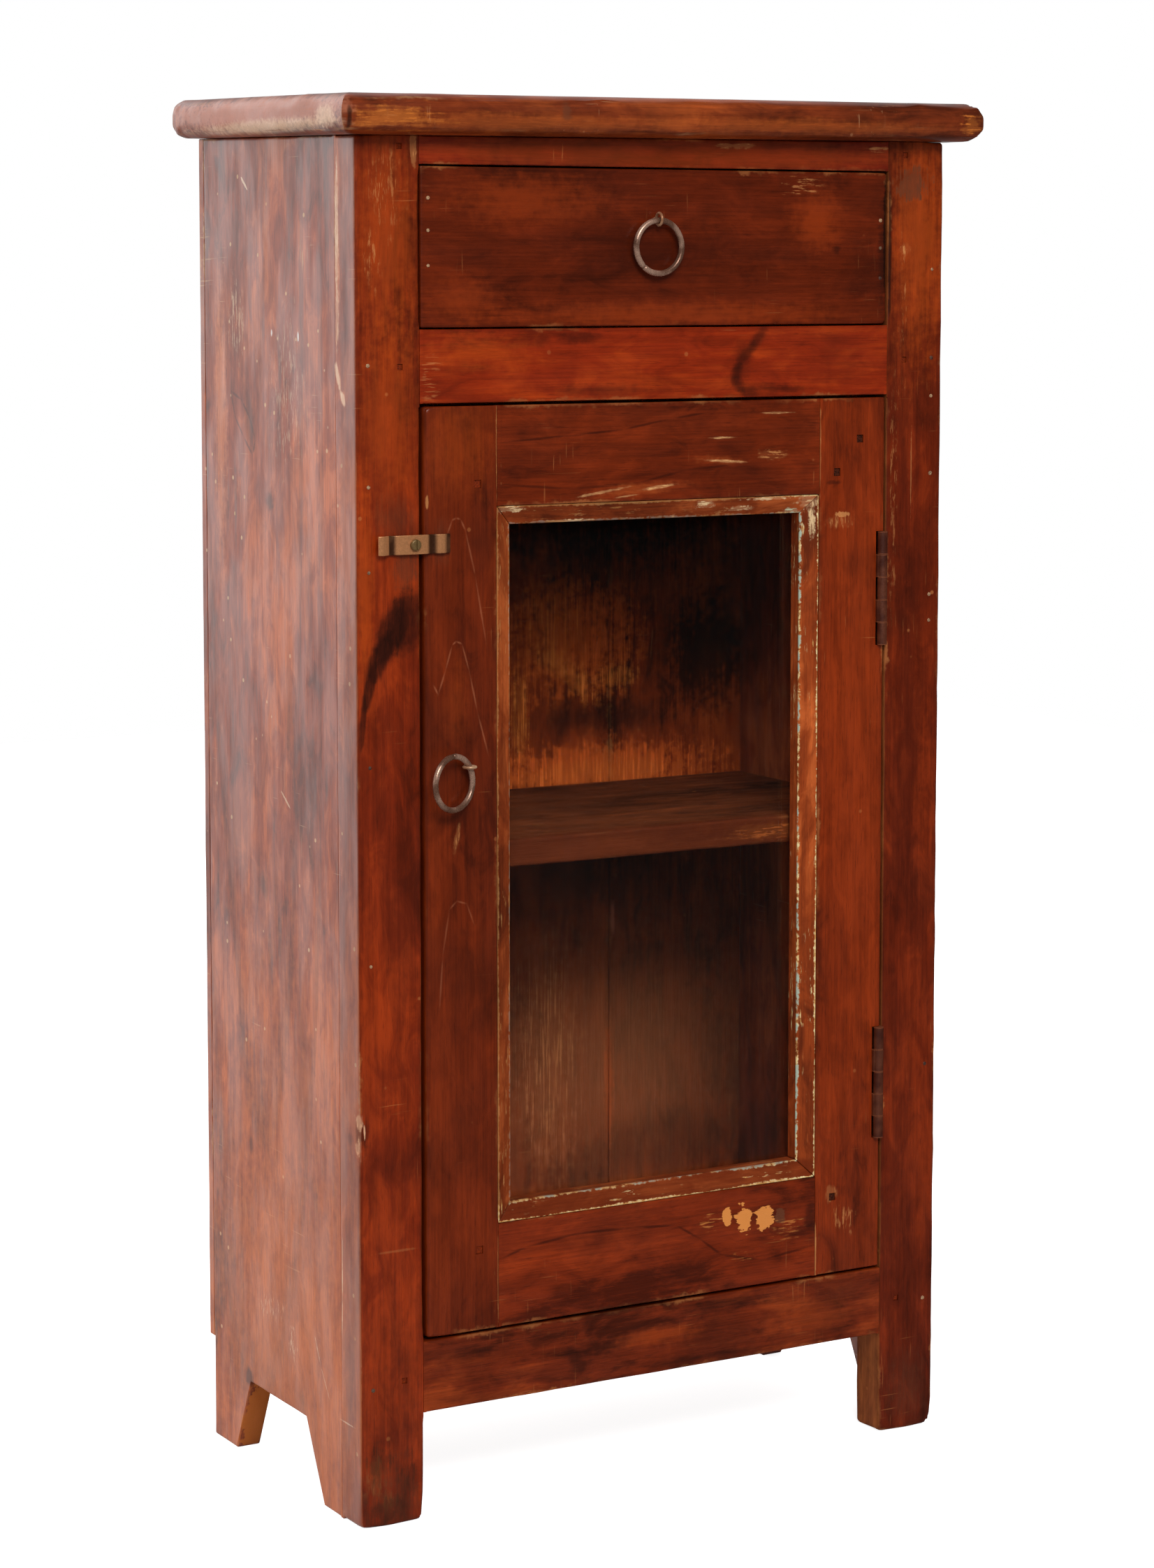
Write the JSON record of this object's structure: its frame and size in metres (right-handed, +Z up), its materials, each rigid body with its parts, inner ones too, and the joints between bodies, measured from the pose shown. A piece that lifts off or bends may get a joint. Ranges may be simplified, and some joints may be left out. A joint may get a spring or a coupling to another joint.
{
  "type": "side cabinet",
  "caption": "Tall narrow wooden side cabinet with a drawer over a glazed door, on feet cut from its side planks.",
  "frame": {"origin": "on the floor under the middle of the top board", "axes": "+Z up, -Y towards the front with the drawer and the door, +X to the viewer's right"},
  "size_m": [0.525, 0.28, 1],
  "materials": {
    "teak_top": "worn oil and wax polish",
    "teak_side": "worn polish with scratches",
    "teak_frame": "satin oil polish",
    "teak_drawer": "satin oil polish",
    "teak_door": "satin oil polish",
    "painted_bead": "polish over flaking old paint",
    "inner_wood": "unpolished, darkened",
    "peg_wood": "darkened end grain",
    "pane_glass": "clear old sheet glass",
    "dark_iron": "browned iron",
    "nail_iron": "rusted flat",
    "aged_brass": "tarnished"
  },
  "bodies": {
    "carcass": {"top_board": "teak_top", "side_plank_left": "teak_side", "side_plank_right": "teak_side", "stile_left": "teak_frame", "stile_right": "teak_frame", "top_rail": "teak_frame", "middle_rail": "teak_frame", "bottom_rail": "teak_frame", "back_board_left": "inner_wood", "back_board_middle": "inner_wood", "back_board_right": "inner_wood", "floor_board": "inner_wood", "floor_cleat_left": "inner_wood", "floor_cleat_right": "inner_wood", "shelf": "inner_wood", "shelf_cleat_left": "inner_wood", "shelf_cleat_right": "inner_wood", "drawer_runner_left": "inner_wood", "drawer_runner_right": "inner_wood", "drawer_guide_left": "inner_wood", "drawer_guide_right": "inner_wood", "stile_nails": "nail_iron", "frame_pegs": "peg_wood", "back_nails": "nail_iron", "hinge_upper_frame_leaf": "dark_iron", "hinge_lower_frame_leaf": "dark_iron", "hinge_upper_pin": "dark_iron", "hinge_lower_pin": "dark_iron", "hinge_frame_screws": "dark_iron", "latch_screw": "aged_brass"},
    "drawer": {"drawer_front": "teak_drawer", "drawer_side_left": "inner_wood", "drawer_side_right": "inner_wood", "drawer_back": "inner_wood", "drawer_bottom": "inner_wood", "drawer_nails": "nail_iron", "drawer_eye": "dark_iron"},
    "drawer_ring": {"drawer_ring": "dark_iron"},
    "door": {"door_stile_left": "teak_door", "door_stile_right": "teak_door", "door_top_rail": "teak_door", "door_bottom_rail": "teak_door", "door_glass": "pane_glass", "bead_top": "painted_bead", "bead_bottom": "painted_bead", "bead_left": "painted_bead", "bead_right": "painted_bead", "door_pegs": "peg_wood", "hinge_upper_door_leaf": "dark_iron", "hinge_lower_door_leaf": "dark_iron", "hinge_door_screws": "dark_iron", "door_eye": "dark_iron"},
    "door_ring": {"door_ring": "dark_iron"},
    "latch": {"latch_strap": "aged_brass"}
  },
  "joints": [
    {"name": "drawer_slide", "type": "slide", "parent": "carcass", "child": "drawer", "axis": [0, -1, 0], "range_m": [0, 0.16]},
    {"name": "drawer_ring_swing", "type": "hinge", "parent": "drawer", "child": "drawer_ring", "pos_m": [-0.006, -0.1235, 0.9112], "axis": [-1, 0, 0], "range_deg": [0, 170]},
    {"name": "door_swing", "type": "hinge", "parent": "carcass", "child": "door", "pos_m": [0.18975, -0.1192, 0.456], "axis": [0, 0, 1], "range_deg": [0, 165]},
    {"name": "door_ring_swing", "type": "hinge", "parent": "door", "child": "door_ring", "pos_m": [-0.1585, -0.1235, 0.533], "axis": [0, 0, 1], "range_deg": [-18, 120]},
    {"name": "latch_turn", "type": "hinge", "parent": "carcass", "child": "latch", "pos_m": [-0.1995, -0.1202, 0.689], "axis": [0, 1, 0], "range_deg": [-90, 90]}
  ]
}
